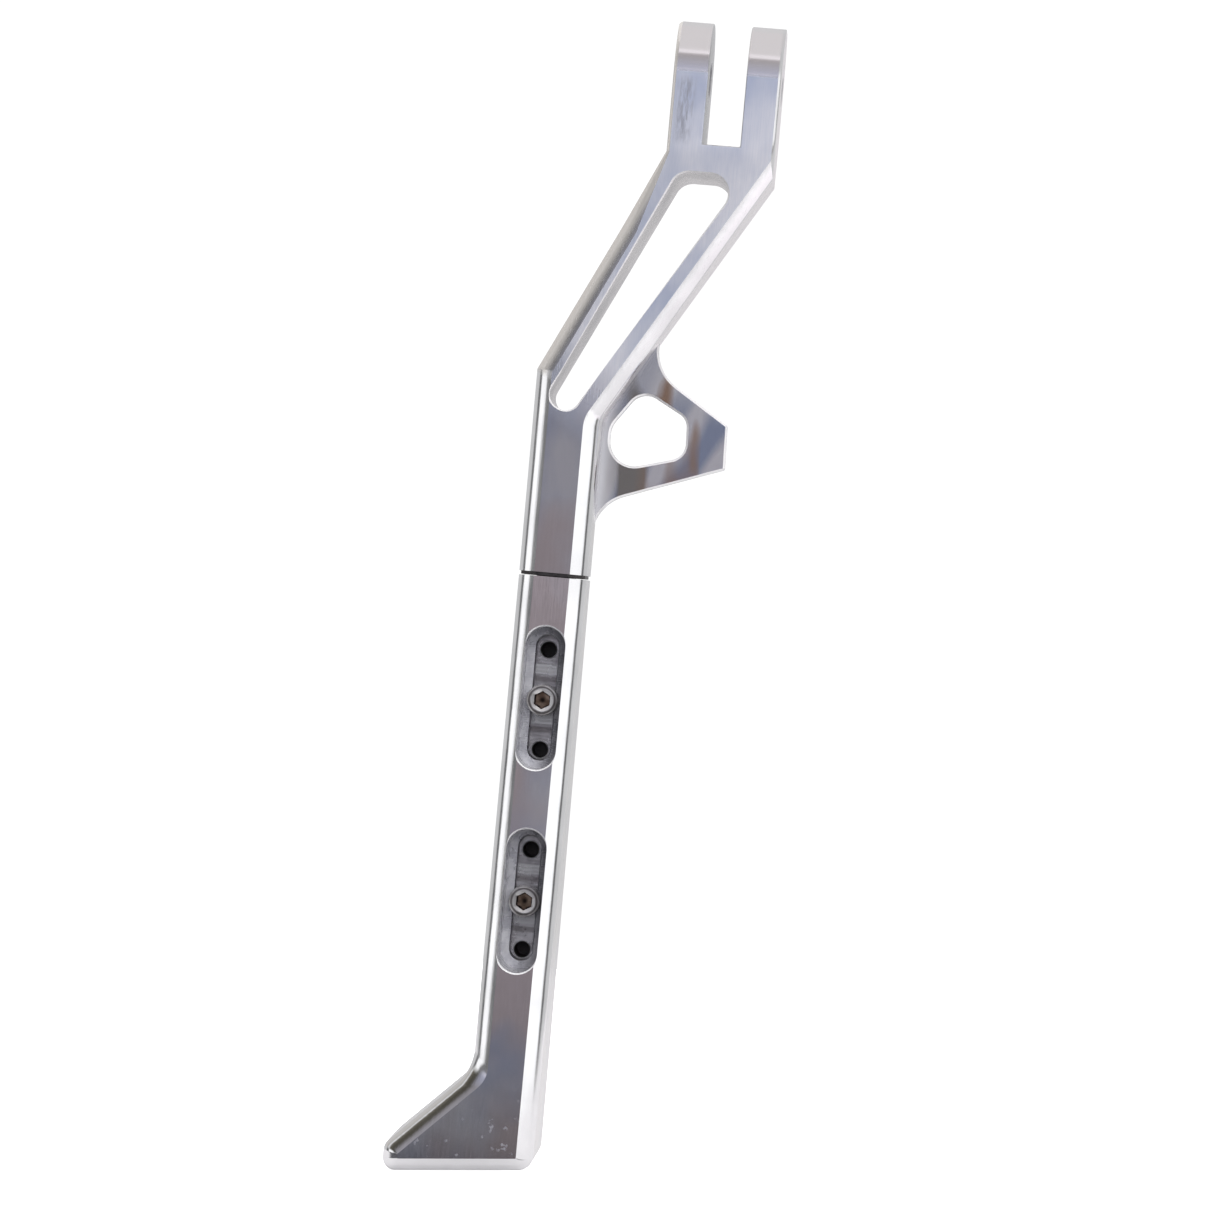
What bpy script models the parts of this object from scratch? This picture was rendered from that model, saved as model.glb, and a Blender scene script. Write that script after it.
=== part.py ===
"""Adjustable motorcycle kickstand, machined from aluminium billet.

The upper leg hangs from the motorcycle by a fork and ends in a drilled tongue. The slotted lower
leg slides on that tongue, and two cap screws clamp it at the length that the motorcycle needs.

Frame, in metres: the origin is on the swing pivot's axis, midway between the ears of the fork.
+X runs along that axis, +Z runs up the straight leg, and the screw heads face -Y.
"""

import math
from collections import namedtuple

import bmesh
import bpy
from mathutils import Vector

# Fork. Each corner of the two prong tips is given as x, the side that it faces and its radius
FORK_HALF_WIDTH = 0.017
FORK_GAP = 0.012
FORK_GAP_FLOOR_Z = -0.0225
FORK_CREASE_Z = -0.025
EAR_RADIUS = 0.0178
PIVOT_BORE = 0.012
PRONG_CORNERS = (
    (-FORK_HALF_WIDTH, -1, 0.0024),
    (-FORK_GAP / 2, 1, 0.001),
    (FORK_GAP / 2, -1, 0.0016),
    (FORK_HALF_WIDTH, 1, 0.0008),
)

# Leg section, which the upper and the lower leg share
LEG_X = -0.0413
LEG_HALF_WIDTH = 0.0108
LEG_HALF_DEPTH = 0.014
LEG_LEFT_X = LEG_X - LEG_HALF_WIDTH
LEG_RIGHT_X = LEG_X + LEG_HALF_WIDTH
ELBOW_Z = -0.0967
JOINT_LINE_Z = -0.1607
JOINT_LINE_GAP = 0.0013
GROOVE_DEPTH = 0.0006
GROOVE_CORNER = 0.005

# Rounding of the long edges: its width on the face, its depth on the side, and the depth at
# which the face's slope would meet the side
EDGE_WIDTH = 0.00515
EDGE_DEPTH_RATIO = 1.07
EDGE_SLOPE_RATIO = 0.55
EDGE_RUN_IN = 0.027

# Slanted member
FORK_LEFT_BEND_Z = -0.0255
FORK_RIGHT_BEND_Z = -0.0314
INNER_ELBOW_Z = -0.1109
INNER_ELBOW_RADIUS = 0.010
RIGHT_EDGE_TOP_WIDTH = 0.0036
RIGHT_EDGE_END_WIDTH = 0.0043

# Kick tab
TAB_FRONT_Y = 0.0025
TAB_THICKNESS = 0.004

# Length adjustment: tongue, its tapped holes, the stepped slots and the channel
TONGUE_WIDTH = 0.012
TONGUE_FRONT_Y = 0.002
TONGUE_BACK_Y = 0.0132
TONGUE_TIP_Z = -0.293
HOLE_PITCH = 0.016
HOLE_COUNT = 7
TOP_HOLE_Z = -0.1851
HOLE_DIAMETER = 0.005
HOLE_END_Y = 0.0122
SLOT_ARC_SPACING = 0.0325
SLOT_RISE = 0.0008
POCKET_WIDTH = 0.01275
SLOT_WIDTH = 0.007
LEDGE_Y = -0.002
SLIDING_GAP = 0.0003
CHANNEL_END_Z = -0.312

# Foot
HEEL_BEND_Z = -0.3188
TOE_X = -0.0779
TOE_TOP_Z = -0.3443
SOLE_TOE_Z = -0.3526
SOLE_HEEL_Z = -0.3481
SOLE_HALF_DEPTH = 0.023
SOLE_EDGE_WIDTH = 0.0041

# M6 socket cap screw
HEAD_DIAMETER = 0.010
HEAD_HEIGHT = 0.006
SHANK_DIAMETER = 0.006
CORE_DIAMETER = 0.0044
SHANK_LENGTH = 0.012
SOCKET_ACROSS_FLATS = 0.005
SOCKET_DEPTH = 0.003
SOCKET_MOUTH = 0.0069
SCREW_HOLES = {"upper_clamp_screw": 1, "lower_clamp_screw": 5}

# Facets
EDGE_STEPS = 3
ARC_STEPS = 6
EAR_STEPS = 7
ROUND_SIDES = 24
THROUGH = 0.04

# A corner of an outline in x and z: its radius at the side wall, its radius at the face, and the
# width of the edge rounding as the outline arrives at it and as it leaves
Corner = namedtuple("Corner", "x z radius face_radius before after", defaults=(0, 0, 0, 0))


def clear_scene():
    for obj in list(bpy.data.objects):
        bpy.data.objects.remove(obj, do_unlink=True)


def metal(name, colour, roughness):
    material = bpy.data.materials.new(name)
    material.use_nodes = True
    shader = material.node_tree.nodes["Principled BSDF"]
    shader.inputs["Base Color"].default_value = (*colour, 1)
    shader.inputs["Metallic"].default_value = 1
    shader.inputs["Roughness"].default_value = roughness
    material.diffuse_color = (*colour, 1)
    return material


def new_object(name, mesh, material=None):
    obj = bpy.data.objects.new(name, mesh)
    bpy.context.scene.collection.objects.link(obj)
    if material:
        mesh.materials.append(material)
    else:
        obj.hide_render = True
        obj.display_type = "WIRE"
    return obj


def mesh_from(bm, name):
    bmesh.ops.remove_doubles(bm, verts=bm.verts, dist=1e-7)
    bmesh.ops.recalc_face_normals(bm, faces=bm.faces)
    mesh = bpy.data.meshes.new(name)
    bm.to_mesh(mesh)
    bm.free()
    return mesh


def loft(sections):
    """A closed solid through rings that all have the same number of points."""
    bm = bmesh.new()
    rings = [[bm.verts.new(point) for point in section] for section in sections]
    for lower, upper in zip(rings, rings[1:]):
        for i in range(len(lower)):
            j = (i + 1) % len(lower)
            bm.faces.new((lower[i], lower[j], upper[j], upper[i]))
    bm.faces.new(reversed(rings[0]))
    bm.faces.new(rings[-1])
    return bm


def corner_arc(before, here, after, radius, steps):
    """The points that round one corner of an outline, or the corner itself where steps is 0."""
    if not steps or not radius:
        return [here] * (steps + 1)
    back = (before - here).normalized()
    on = (after - here).normalized()
    half_angle = back.angle(on) / 2
    centre = here + (back + on).normalized() * radius / math.sin(half_angle)
    reach = radius / math.tan(half_angle)
    first = (here + back * reach - centre).normalized()
    last = (here + on * reach - centre).normalized()
    return [centre + first.slerp(last, i / steps) * radius for i in range(steps + 1)]


def rounded(points, radii, steps):
    outline = []
    for i, here in enumerate(points):
        after = points[(i + 1) % len(points)]
        outline += corner_arc(points[i - 1], here, after, radii[i], steps[i])
    return outline


def inset(corners):
    """The corners of the face's outline, moved in from the side walls by the edge widths."""
    points = []
    for i, corner in enumerate(corners):
        following = corners[(i + 1) % len(corners)]
        normals = []
        for start, end in ((corners[i - 1], corner), (corner, following)):
            along = Vector((end.x - start.x, end.z - start.z)).normalized()
            normals.append(Vector((-along.y, along.x)))
        first, second = normals
        turn = first.x * second.y - first.y * second.x
        if abs(turn) < 1e-6:
            shift = first * corner.before
        else:
            shift = Vector((
                corner.before * second.y - corner.after * first.y,
                corner.after * first.x - corner.before * second.x,
            )) / turn
        points.append(Vector((corner.x, corner.z)) + shift)
    return points


def prism(corners, front_y, back_y):
    """A rounded outline in x and z, extruded along y."""
    points = [Vector((corner.x, corner.z)) for corner in corners]
    steps = [ARC_STEPS if corner.radius else 0 for corner in corners]
    outline = rounded(points, [corner.radius for corner in corners], steps)
    return loft([[(p.x, y, p.y) for p in outline] for y in (front_y, back_y)])


def edge_section(walls, face, widths, share, side):
    """One ring of the edge rounding: share is 0 at the side wall and 1 at the face."""
    depth = EDGE_DEPTH_RATIO * (1 - share) ** 2 + EDGE_SLOPE_RATIO * 2 * share * (1 - share)
    ring = []
    for wall, inner, width in zip(walls, face, widths):
        point = wall.lerp(inner, share ** 2)
        ring.append((point.x, side * (LEG_HALF_DEPTH - depth * width), point.y))
    return ring


def billet(corners):
    """The outline through the leg's depth, with its long edges rounded on both faces."""
    steps = [ARC_STEPS if c.radius or c.face_radius else 0 for c in corners]
    walls = rounded([Vector((c.x, c.z)) for c in corners], [c.radius for c in corners], steps)
    face = rounded(inset(corners), [c.face_radius for c in corners], steps)
    widths = []
    for corner, count in zip(corners, steps):
        for i in range(count + 1):
            share = i / count if count else float(corner.after > corner.before)
            widths.append(corner.before + (corner.after - corner.before) * share)
    shares = [i / EDGE_STEPS for i in range(EDGE_STEPS + 1)]
    front = [edge_section(walls, face, widths, share, -1) for share in reversed(shares)]
    back = [edge_section(walls, face, widths, share, 1) for share in shares]
    bm = loft(front + back)
    bmesh.ops.remove_doubles(bm, verts=bm.verts, dist=1e-7)
    return bm


def upper_half_depth(z):
    """Half the thickness: flat on the leg, growing up the slanted member, round at the ears."""
    if z > 0:
        return math.sqrt(max(EAR_RADIUS ** 2 - z ** 2, 0))
    climbed = (z - ELBOW_Z) / (FORK_CREASE_Z - ELBOW_Z)
    return LEG_HALF_DEPTH + (EAR_RADIUS - LEG_HALF_DEPTH) * min(max(climbed, 0), 1)


def lower_half_depth(z):
    """Half the thickness, growing evenly from the joint line to the sole."""
    descended = (JOINT_LINE_Z - z) / (JOINT_LINE_Z - SOLE_TOE_Z)
    return LEG_HALF_DEPTH + (SOLE_HALF_DEPTH - LEG_HALF_DEPTH) * descended


def thicken(bm, half_depth, creases=()):
    """Gives the constant-depth billet its thickness along z, with an edge loop at each crease."""
    for level in creases:
        geometry = [*bm.verts, *bm.edges, *bm.faces]
        bmesh.ops.bisect_plane(bm, geom=geometry, plane_co=(0, 0, level), plane_no=(0, 0, 1))
    for vertex in bm.verts:
        below_face = LEG_HALF_DEPTH - abs(vertex.co.y)
        vertex.co.y = math.copysign(half_depth(vertex.co.z) - below_face, vertex.co.y)


def cylinder(radius, axis, centre, length):
    """A round cutter along the x or the y axis."""
    turned = [math.tau * i / ROUND_SIDES for i in range(ROUND_SIDES)]
    sections = []
    for end in (-length / 2, length / 2):
        ring = []
        for angle in turned:
            a, b = radius * math.cos(angle), radius * math.sin(angle)
            offset = Vector((end, a, b)) if axis == "x" else Vector((a, end, b))
            ring.append(Vector(centre) + offset)
        sections.append(ring)
    return loft(sections)


def box(low, high):
    (x0, y0, z0), (x1, y1, z1) = low, high
    return loft([[(x0, y, z0), (x1, y, z0), (x1, y, z1), (x0, y, z1)] for y in (y0, y1)])


def stadium(centre_z, width, front_y, back_y):
    """A straight slot with round ends, standing along the leg."""
    radius = width / 2
    reach = SLOT_ARC_SPACING / 2 + radius
    corners = [
        Corner(LEG_X + side * radius, centre_z + end * reach, radius * 0.999)
        for side, end in ((-1, -1), (1, -1), (1, 1), (-1, 1))
    ]
    return prism(corners, front_y, back_y)


def joined(solids):
    """Several separate solids in one mesh."""
    whole = bmesh.new()
    for solid in solids:
        mesh = mesh_from(solid, "solid")
        whole.from_mesh(mesh)
        bpy.data.meshes.remove(mesh)
    return whole


def combine(obj, operation, helpers):
    for name, bm in helpers.items():
        helper = new_object(name, mesh_from(bm, name))
        modifier = obj.modifiers.new(name, "BOOLEAN")
        modifier.operation = operation
        modifier.solver = "EXACT"
        modifier.object = helper


def hole_z(index):
    return TOP_HOLE_Z - index * HOLE_PITCH


def upper_leg_corners():
    slant = Vector((LEG_LEFT_X + FORK_HALF_WIDTH, ELBOW_Z - FORK_LEFT_BEND_Z)).normalized()
    full = Vector((-FORK_HALF_WIDTH, FORK_LEFT_BEND_Z)) + slant * EDGE_RUN_IN
    edge, bend = EDGE_WIDTH, INNER_ELBOW_RADIUS
    return [
        Corner(LEG_LEFT_X, JOINT_LINE_Z, before=edge),
        Corner(LEG_RIGHT_X, JOINT_LINE_Z, after=edge),
        Corner(LEG_RIGHT_X, INNER_ELBOW_Z, bend, bend, edge, RIGHT_EDGE_END_WIDTH),
        Corner(FORK_HALF_WIDTH, FORK_RIGHT_BEND_Z, before=RIGHT_EDGE_TOP_WIDTH),
        Corner(FORK_HALF_WIDTH, EAR_RADIUS),
        Corner(-FORK_HALF_WIDTH, EAR_RADIUS),
        Corner(-FORK_HALF_WIDTH, FORK_LEFT_BEND_Z),
        Corner(full.x, full.y, before=edge, after=edge),
        Corner(LEG_LEFT_X, ELBOW_Z, before=edge, after=edge),
    ]


def window_corners():
    """The lightening window between the two rails of the slanted member."""
    return [
        Corner(0.0082, -0.0316, 0.006),
        Corner(-0.0126, -0.0316, 0.006),
        Corner(-0.0485, -0.1063, 0.0045),
        Corner(-0.0403, -0.1107, 0.0045),
    ]


def tab_corners():
    """The thin plate that the rider's heel pushes. Its last four corners lie inside the leg."""
    return [
        Corner(LEG_RIGHT_X, -0.1374, 0.014),
        Corner(0.0095, -0.1231, 0.0008),
        Corner(0.0091, -0.1090, 0.0008),
        Corner(-0.0194, -0.0909, 0.014),
        Corner(-0.0051, -0.0645),
        Corner(LEG_X, -0.118),
        Corner(LEG_X, -0.156),
        Corner(LEG_RIGHT_X - 0.001, -0.156),
    ]


def tab_hole_corners():
    return [
        Corner(-0.0189, -0.0998, 0.006),
        Corner(-0.0279, -0.1124, 0.008),
        Corner(-0.0279, -0.1270, 0.008),
        Corner(-0.0034, -0.1202, 0.0055),
        Corner(-0.0039, -0.1079, 0.005),
    ]


def prong_corner(x, side, radius):
    """What is cut from one corner of a prong's tip to round it."""
    centre_x, centre_z = x - side * radius, EAR_RADIUS - radius
    outline = [(centre_x, 2 * EAR_RADIUS), (x + side * radius, 2 * EAR_RADIUS)]
    outline.append((x + side * radius, centre_z))
    for i in range(ARC_STEPS + 1):
        turn = math.pi / 2 * i / ARC_STEPS
        outline.append((
            centre_x + side * radius * math.cos(turn), centre_z + radius * math.sin(turn),
        ))
    return loft([[(px, y, pz) for px, pz in outline] for y in (-THROUGH, THROUGH)])


def shoulder():
    """What fills the joint line inside its groove: the leg's section with its corners cut off."""
    x, y, cut = LEG_HALF_WIDTH - GROOVE_DEPTH, LEG_HALF_DEPTH - GROOVE_DEPTH, GROOVE_CORNER
    section = [
        (x, y - cut), (x - cut, y), (cut - x, y), (-x, y - cut),
        (-x, cut - y), (cut - x, -y), (x - cut, -y), (x, cut - y),
    ]
    end_z = JOINT_LINE_Z - JOINT_LINE_GAP + SLIDING_GAP
    levels = (end_z, JOINT_LINE_Z + GROOVE_DEPTH)
    return loft([[(LEG_X + px, py, z) for px, py in section] for z in levels])


def make_upper_leg(material):
    bm = billet(upper_leg_corners())
    turns = [math.pi / 2 * i / EAR_STEPS for i in range(EAR_STEPS)]
    ear_levels = [EAR_RADIUS * math.sin(turn) for turn in turns]
    thicken(bm, upper_half_depth, [ELBOW_Z, FORK_CREASE_Z, *ear_levels])
    leg = new_object("upper_leg", mesh_from(bm, "upper_leg"), material)
    half_tongue = TONGUE_WIDTH / 2
    combine(leg, "UNION", {
        "shoulder_plate": shoulder(),
        "tab_plate": prism(tab_corners(), TAB_FRONT_Y, TAB_FRONT_Y + TAB_THICKNESS),
        "tongue_bar": box(
            (LEG_X - half_tongue, TONGUE_FRONT_Y, TONGUE_TIP_Z),
            (LEG_X + half_tongue, TONGUE_BACK_Y, JOINT_LINE_Z + 0.005),
        ),
    })
    hole_middle_y = HOLE_END_Y - THROUGH / 2
    hole_centres = [(LEG_X, hole_middle_y, hole_z(i)) for i in range(HOLE_COUNT)]
    combine(leg, "DIFFERENCE", {
        "window_cut": prism(window_corners(), -THROUGH, THROUGH),
        "tab_hole_cut": prism(tab_hole_corners(), 0, 2 * TAB_FRONT_Y + TAB_THICKNESS),
        "fork_gap_cut": box(
            (-FORK_GAP / 2, -THROUGH, FORK_GAP_FLOOR_Z),
            (FORK_GAP / 2, THROUGH, THROUGH),
        ),
        "prong_corners_cut": joined(prong_corner(*corner) for corner in PRONG_CORNERS),
        "pivot_bore_cut": cylinder(PIVOT_BORE / 2, "x", (0, 0, 0), 2 * THROUGH),
        "tongue_holes_cut": joined(
            cylinder(HOLE_DIAMETER / 2, "y", centre, THROUGH) for centre in hole_centres
        ),
    })


def lower_leg_corners():
    edge, sole = EDGE_WIDTH, SOLE_EDGE_WIDTH
    top = JOINT_LINE_Z - JOINT_LINE_GAP
    return [
        Corner(LEG_LEFT_X, top, after=edge),
        Corner(LEG_LEFT_X, HEEL_BEND_Z, 0.016, 0.009, edge, edge),
        Corner(TOE_X, TOE_TOP_Z, 0.005, 0.0005, edge, edge),
        Corner(TOE_X, SOLE_TOE_Z, 0.004, 0.0002, edge, sole),
        Corner(LEG_RIGHT_X, SOLE_HEEL_Z, 0.0045, 0.0002, sole, edge),
        Corner(LEG_RIGHT_X, top, before=edge),
    ]


def make_lower_leg(material):
    bm = billet(lower_leg_corners())
    thicken(bm, lower_half_depth)
    leg = new_object("lower_leg", mesh_from(bm, "lower_leg"), material)
    half_channel = TONGUE_WIDTH / 2 + SLIDING_GAP
    web_back_y = TONGUE_FRONT_Y - SLIDING_GAP
    centres = [hole_z(hole) + SLOT_RISE for hole in SCREW_HOLES.values()]
    combine(leg, "DIFFERENCE", {
        "channel_cut": box(
            (LEG_X - half_channel, web_back_y, CHANNEL_END_Z),
            (LEG_X + half_channel, THROUGH, JOINT_LINE_Z),
        ),
        "pockets_cut": joined(stadium(z, POCKET_WIDTH, -THROUGH, LEDGE_Y) for z in centres),
        "slots_cut": joined(stadium(z, SLOT_WIDTH, -THROUGH, THROUGH) for z in centres),
    })


def circle_ring(diameter, height):
    turns = [math.tau * i / ROUND_SIDES for i in range(ROUND_SIDES)]
    return [(diameter / 2 * math.cos(a), diameter / 2 * math.sin(a), height) for a in turns]


def hexagon_ring(across_flats, height):
    """A hexagon with as many points as the circles, so that the two can be lofted together."""
    ring = []
    for i in range(ROUND_SIDES):
        angle = math.tau * i / ROUND_SIDES
        off_flat = (angle + math.pi / 6) % (math.pi / 3) - math.pi / 6
        reach = across_flats / 2 / math.cos(off_flat)
        ring.append((reach * math.cos(angle), reach * math.sin(angle), height))
    return ring


def screw_mesh():
    """The screw along +Z, with the underside of its head at z = 0."""
    break_edge = 0.0004
    return loft([
        circle_ring(CORE_DIAMETER - 2 * break_edge, -SHANK_LENGTH),
        circle_ring(CORE_DIAMETER, break_edge - SHANK_LENGTH),
        circle_ring(CORE_DIAMETER, LEDGE_Y - TONGUE_FRONT_Y + 2 * SLIDING_GAP),
        circle_ring(SHANK_DIAMETER, LEDGE_Y - TONGUE_FRONT_Y + 2 * SLIDING_GAP),
        circle_ring(SHANK_DIAMETER, 0),
        circle_ring(HEAD_DIAMETER, 0),
        circle_ring(HEAD_DIAMETER, HEAD_HEIGHT - break_edge),
        circle_ring(HEAD_DIAMETER - 2 * break_edge, HEAD_HEIGHT),
        circle_ring(SOCKET_MOUTH, HEAD_HEIGHT),
        hexagon_ring(SOCKET_ACROSS_FLATS, HEAD_HEIGHT - break_edge),
        hexagon_ring(SOCKET_ACROSS_FLATS, HEAD_HEIGHT - SOCKET_DEPTH),
    ])


def make_screws(material):
    mesh = mesh_from(screw_mesh(), "clamp_screw")
    mesh.materials.append(material)
    mesh.shade_smooth()
    mesh.set_sharp_from_angle(angle=math.radians(35))
    for name, hole in SCREW_HOLES.items():
        screw = bpy.data.objects.new(name, mesh)
        bpy.context.scene.collection.objects.link(screw)
        screw.location = (LEG_X, LEDGE_Y - SLIDING_GAP, hole_z(hole))
        screw.rotation_euler = (math.pi / 2, 0, 0)


def main():
    clear_scene()
    aluminium = metal("polished_aluminium", (0.78, 0.79, 0.81), 0.16)
    make_upper_leg(aluminium)
    make_lower_leg(aluminium)
    make_screws(metal("stainless_steel", (0.60, 0.59, 0.57), 0.24))


main()
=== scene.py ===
"""Looks of an adjustable motorcycle kickstand, machined from aluminium billet.

Each CAD node is replaced by a finer solid of the same shape: smooth rounded edges, small edge
breaks and knurled, threaded screws. Everything is in metres, in the frame of the CAD part: the
origin on the swing pivot's axis, +X along that axis, +Z up the leg, screw heads facing -Y.
"""

import math
from collections import namedtuple

import bmesh
import bpy
from mathutils import Matrix, Vector

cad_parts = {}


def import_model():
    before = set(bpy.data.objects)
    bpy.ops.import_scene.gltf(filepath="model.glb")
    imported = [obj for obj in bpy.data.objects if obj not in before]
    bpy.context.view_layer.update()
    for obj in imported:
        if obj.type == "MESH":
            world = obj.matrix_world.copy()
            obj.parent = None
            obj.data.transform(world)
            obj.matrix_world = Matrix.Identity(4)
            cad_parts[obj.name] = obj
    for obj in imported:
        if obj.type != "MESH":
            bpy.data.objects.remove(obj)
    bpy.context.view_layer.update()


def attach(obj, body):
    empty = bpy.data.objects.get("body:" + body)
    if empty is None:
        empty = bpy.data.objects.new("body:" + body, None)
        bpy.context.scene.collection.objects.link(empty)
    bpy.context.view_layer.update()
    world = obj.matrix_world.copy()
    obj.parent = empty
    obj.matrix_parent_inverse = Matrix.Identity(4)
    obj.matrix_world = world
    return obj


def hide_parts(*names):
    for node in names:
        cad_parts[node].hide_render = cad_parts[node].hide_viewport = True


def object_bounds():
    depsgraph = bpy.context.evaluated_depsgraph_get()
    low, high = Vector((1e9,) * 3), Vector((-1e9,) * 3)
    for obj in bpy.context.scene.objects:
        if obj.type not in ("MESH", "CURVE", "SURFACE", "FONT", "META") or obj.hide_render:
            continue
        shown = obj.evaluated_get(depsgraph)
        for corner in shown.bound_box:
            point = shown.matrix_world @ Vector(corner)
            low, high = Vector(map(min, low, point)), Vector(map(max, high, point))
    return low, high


# Fork. Each corner of the two prong tips is given as x, the side that it faces and its radius
FORK_HALF_WIDTH = 0.017
FORK_GAP = 0.012
FORK_GAP_FLOOR_Z = -0.0225
FORK_CREASE_Z = -0.025
EAR_RADIUS = 0.0178
PIVOT_BORE = 0.012
PRONG_CORNERS = (
    (-FORK_HALF_WIDTH, -1, 0.0024),
    (-FORK_GAP / 2, 1, 0.001),
    (FORK_GAP / 2, -1, 0.0016),
    (FORK_HALF_WIDTH, 1, 0.0008),
)

# Leg section, and the rounding of its long edges. The ratios are shares of the rounding's width:
# its depth on the side, and the depth at which its slope at the face would meet the side
LEG_X = -0.0413
LEG_HALF_WIDTH = 0.0108
LEG_HALF_DEPTH = 0.014
LEG_LEFT_X = LEG_X - LEG_HALF_WIDTH
LEG_RIGHT_X = LEG_X + LEG_HALF_WIDTH
ELBOW_Z = -0.0967
JOINT_LINE_Z = -0.1607
JOINT_LINE_GAP = 0.0013
GROOVE_DEPTH = 0.0006
GROOVE_CORNER = 0.005
EDGE_WIDTH = 0.00515
EDGE_DEPTH_RATIO = 1.07
EDGE_SLOPE_RATIO = 0.55
EDGE_RUN_IN = 0.027

# Slanted member and tab
FORK_LEFT_BEND_Z = -0.0255
FORK_RIGHT_BEND_Z = -0.0314
INNER_ELBOW_Z = -0.1109
INNER_ELBOW_RADIUS = 0.010
RIGHT_EDGE_TOP_WIDTH = 0.0036
RIGHT_EDGE_END_WIDTH = 0.0043
RIGHT_EDGE_RUN_OUT = 0.012
TAB_FRONT_Y = 0.0025
TAB_THICKNESS = 0.004

# Length adjustment
TONGUE_WIDTH = 0.012
TONGUE_FRONT_Y = 0.002
TONGUE_BACK_Y = 0.0132
TONGUE_TIP_Z = -0.293
TONGUE_ROOT = 0.005
HOLE_PITCH = 0.016
HOLE_COUNT = 7
TOP_HOLE_Z = -0.1851
HOLE_DIAMETER = 0.005
HOLE_END_Y = 0.0122
SLOT_ARC_SPACING = 0.0325
SLOT_RISE = 0.0008
POCKET_WIDTH = 0.01275
SLOT_WIDTH = 0.007
LEDGE_Y = -0.002
SLIDING_GAP = 0.0003
CHANNEL_END_Z = -0.312
SWIRL_Z = -0.2323

# Foot
HEEL_BEND_Z = -0.3188
TOE_X = -0.0779
TOE_TOP_Z = -0.3443
SOLE_TOE_Z = -0.35257
SOLE_HEEL_Z = -0.3481
SOLE_HALF_DEPTH = 0.02299
SOLE_EDGE_WIDTH = 0.0041

# M6 socket cap screw
HEAD_RADIUS = 0.005
HEAD_HEIGHT = 0.006
SHANK_RADIUS = 0.003
CORE_RADIUS = 0.0022
SHANK_LENGTH = 0.012
SOCKET_ACROSS_FLATS = 0.005
SOCKET_DEPTH = 0.003
SOCKET_MOUTH_RADIUS = 0.00345
THREAD_PITCH = 0.001
THREAD_DEPTH = 0.00025
KNURL_DEPTH = 0.00012
KNURL_START = 0.0006
KNURL_BELOW_TOP = 0.0011
HEAD_CHAMFER = 0.0003
TIP_CHAMFER = 0.0007
TIP_LENGTH = 0.0005
SOCKET_MOUTH_DEPTH = 0.0005
SOCKET_FLOOR_DEPTH = 0.0002
SOCKET_FLOOR_SHARE = 0.9
SCREW_HOLES = {"upper_clamp_screw": 1, "lower_clamp_screw": 5}

# Rounded rim of the screw's head: how far it is in from the side and down from the top
HEAD_RIM = ((0, 0.0008), (0.0001, 0.00035), (0.0003, 0.0001), (0.0006, 0))

# Edge breaks
FORK_BREAK = 0.0010
GAP_BREAK = 0.0005
WINDOW_BREAK = 0.0005
TAB_BREAK = 0.0007
POCKET_BREAK = 0.00045
HOLE_BREAK = 0.0004
BORE_BREAK = 0.0006

# Facets
EDGE_STEPS = 12
ARC_STEPS = 20
EAR_STEPS = 24
ROUND_SIDES = 96
THROUGH = 0.04
WELD = 1e-7
SHARP_ANGLE = math.radians(22)
ARRIS_ANGLE = math.radians(35)
ON_PLANE = 2e-6

# A corner of an outline in x and z: its radius at the side wall, its radius at the face, and the
# width of the edge rounding as the outline arrives at it and as it leaves
Corner = namedtuple("Corner", "x z radius face_radius before after", defaults=(0, 0, 0, 0))


# ---------------------------------------------------------------- meshes

def loft(sections, strips=None, cap=0):
    """A closed solid through rings of equal length. strips gives the material of each strip."""
    bm = bmesh.new()
    rings = [[bm.verts.new(point) for point in section] for section in sections]
    for s, (lower, upper) in enumerate(zip(rings, rings[1:])):
        for i in range(len(lower)):
            j = (i + 1) % len(lower)
            face = bm.faces.new((lower[i], lower[j], upper[j], upper[i]))
            face.material_index = strips[s] if strips else 0
    for ring in (list(reversed(rings[0])), rings[-1]):
        bm.faces.new(ring).material_index = cap
    bmesh.ops.remove_doubles(bm, verts=bm.verts, dist=WELD)
    bmesh.ops.recalc_face_normals(bm, faces=bm.faces)
    return bm


def corner_arc(before, here, after, radius, steps):
    """The points that round one corner of an outline, or the corner itself where steps is 0."""
    if not steps or not radius:
        return [here] * (steps + 1)
    back = (before - here).normalized()
    on = (after - here).normalized()
    half_angle = back.angle(on) / 2
    centre = here + (back + on).normalized() * radius / math.sin(half_angle)
    reach = radius / math.tan(half_angle)
    first = (here + back * reach - centre).normalized()
    last = (here + on * reach - centre).normalized()
    return [centre + first.slerp(last, i / steps) * radius for i in range(steps + 1)]


def rounded(points, radii, steps):
    """An outline with each of its corners rounded by its own radius."""
    outline = []
    for i, here in enumerate(points):
        after = points[(i + 1) % len(points)]
        outline += corner_arc(points[i - 1], here, after, radii[i], steps[i])
    return outline


def inset(corners):
    """The corners of the face's outline, moved in from the side walls by the edge widths."""
    points = []
    for i, corner in enumerate(corners):
        following = corners[(i + 1) % len(corners)]
        normals = []
        for start, end in ((corners[i - 1], corner), (corner, following)):
            along = Vector((end.x - start.x, end.z - start.z)).normalized()
            normals.append(Vector((-along.y, along.x)))
        first, second = normals
        turn = first.x * second.y - first.y * second.x
        if abs(turn) < 1e-6:
            shift = first * corner.before
        else:
            shift = Vector((
                corner.before * second.y - corner.after * first.y,
                corner.after * first.x - corner.before * second.x,
            )) / turn
        points.append(Vector((corner.x, corner.z)) + shift)
    return points


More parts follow.
